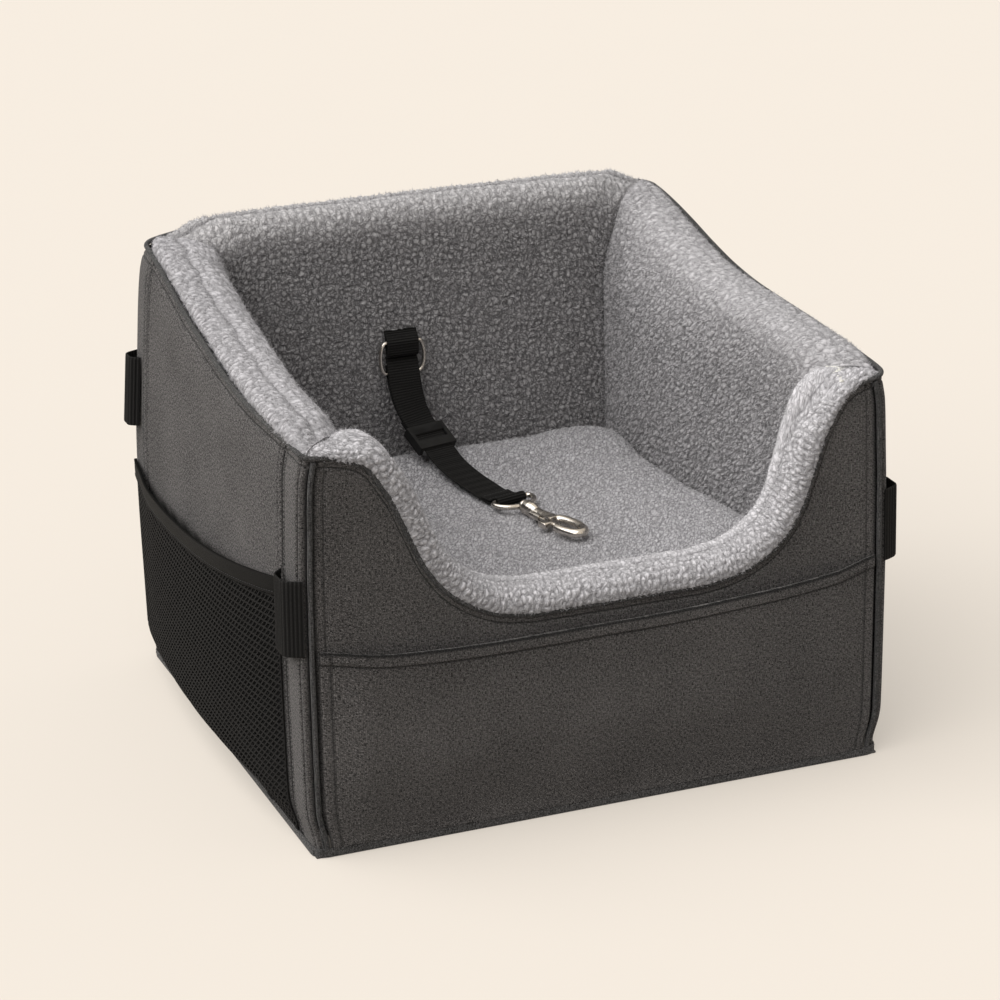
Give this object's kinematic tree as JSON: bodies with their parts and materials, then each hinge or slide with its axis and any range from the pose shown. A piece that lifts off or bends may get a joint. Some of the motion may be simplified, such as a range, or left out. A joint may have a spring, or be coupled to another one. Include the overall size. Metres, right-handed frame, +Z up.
{
  "type": "dog car seat",
  "caption": "Boarded fabric booster tub for a small dog, with a fleece lining, a scooped entry, a cushion, net and patch pockets, and a sliding tether with a swivel snap.",
  "frame": {"origin": "on the surface that the seat stands on, under the middle of the tub's base", "axes": "+X to the right seen from the front, +Y from the low scooped entry towards the high rear wall, +Z up"},
  "size_m": [0.4476, 0.3926, 0.3445],
  "materials": {
    "shell_fabric": "dark grey heather oxford cloth, matt, fine weave",
    "sherpa": "light grey curled fleece pile, matt",
    "binding": "black elastic binding tape, ribbed",
    "webbing": "black woven webbing with cross ribs, slight sheen",
    "mesh_net": "black knitted diamond net",
    "stiffener_board": "plain board, hidden inside the walls",
    "foam": "open-cell foam, hidden inside",
    "nickel": "polished nickel plate",
    "slider_plastic": "black moulded acetal, satin",
    "spring_steel": "bare spring wire"
  },
  "bodies": {
    "tub": {"base_cover": "shell_fabric", "base_binding": "binding", "base_board": "stiffener_board", "riser_foam": "foam", "front_panel": "shell_fabric", "rear_panel": "shell_fabric", "left_panel": "shell_fabric", "right_panel": "shell_fabric", "front_stiffener": "stiffener_board", "rear_stiffener": "stiffener_board", "left_stiffener": "stiffener_board", "right_stiffener": "stiffener_board", "front_foam": "foam", "rear_foam": "foam", "left_foam": "foam", "right_foam": "foam", "front_lining": "sherpa", "rear_lining": "sherpa", "left_lining": "sherpa", "right_lining": "sherpa", "front_left_corner_strip": "shell_fabric", "front_right_corner_strip": "shell_fabric", "rear_left_corner_strip": "shell_fabric", "rear_right_corner_strip": "shell_fabric", "front_left_piping": "shell_fabric", "front_right_piping": "shell_fabric", "rear_left_piping": "shell_fabric", "rear_right_piping": "shell_fabric", "rim_piping": "shell_fabric", "cushion": "sherpa", "front_pocket": "shell_fabric", "left_net": "mesh_net", "right_net": "mesh_net", "left_net_binding": "binding", "right_net_binding": "binding", "front_left_belt_loop": "webbing", "front_right_belt_loop": "webbing", "rear_left_belt_loop": "webbing", "rear_right_belt_loop": "webbing", "anchor_loop": "webbing"},
    "ring": {"d_ring": "nickel"},
    "tether": {"tether_strap": "webbing"},
    "slider": {"slider": "slider_plastic", "strap_end_fold": "webbing"},
    "eye": {"swivel_eye": "nickel"},
    "hook": {"hook_body": "nickel", "bolt_spring": "spring_steel"},
    "bolt": {"thumb_bolt": "nickel"}
  },
  "joints": [
    {"name": "ring_swing", "type": "hinge", "parent": "tub", "child": "ring", "pos_m": [-0.02, 0.14547, 0.24], "axis": [-1, 0, 0], "range_deg": [0, 40]},
    {"name": "tether_swing", "type": "hinge", "parent": "ring", "child": "tether", "pos_m": [-0.02, 0.14547, 0.216], "axis": [-1, 0, 0], "range_deg": [0, 60]},
    {"name": "slider_travel", "type": "slide", "parent": "tether", "child": "slider", "axis": [-0.2103, 0.8498, 0.4834], "range_m": [0, 0.008]},
    {"name": "eye_swing", "type": "hinge", "parent": "tether", "child": "eye", "pos_m": [0.01291, 0.01248, 0.1538], "axis": [-0.9707, -0.2402, 0], "range_deg": [0, 60]},
    {"name": "hook_swivel", "type": "hinge", "parent": "eye", "child": "hook", "pos_m": [0.01772, -0.00694, 0.1538], "axis": [0.2402, -0.9707, 0], "continuous": true},
    {"name": "bolt_pull", "type": "slide", "parent": "hook", "child": "bolt", "axis": [-0.2402, 0.9707, 0], "range_m": [0, 0.007], "stiffness_N_per_m": 200, "springref_m": -0.003, "deforming": ["bolt_spring"]}
  ]
}
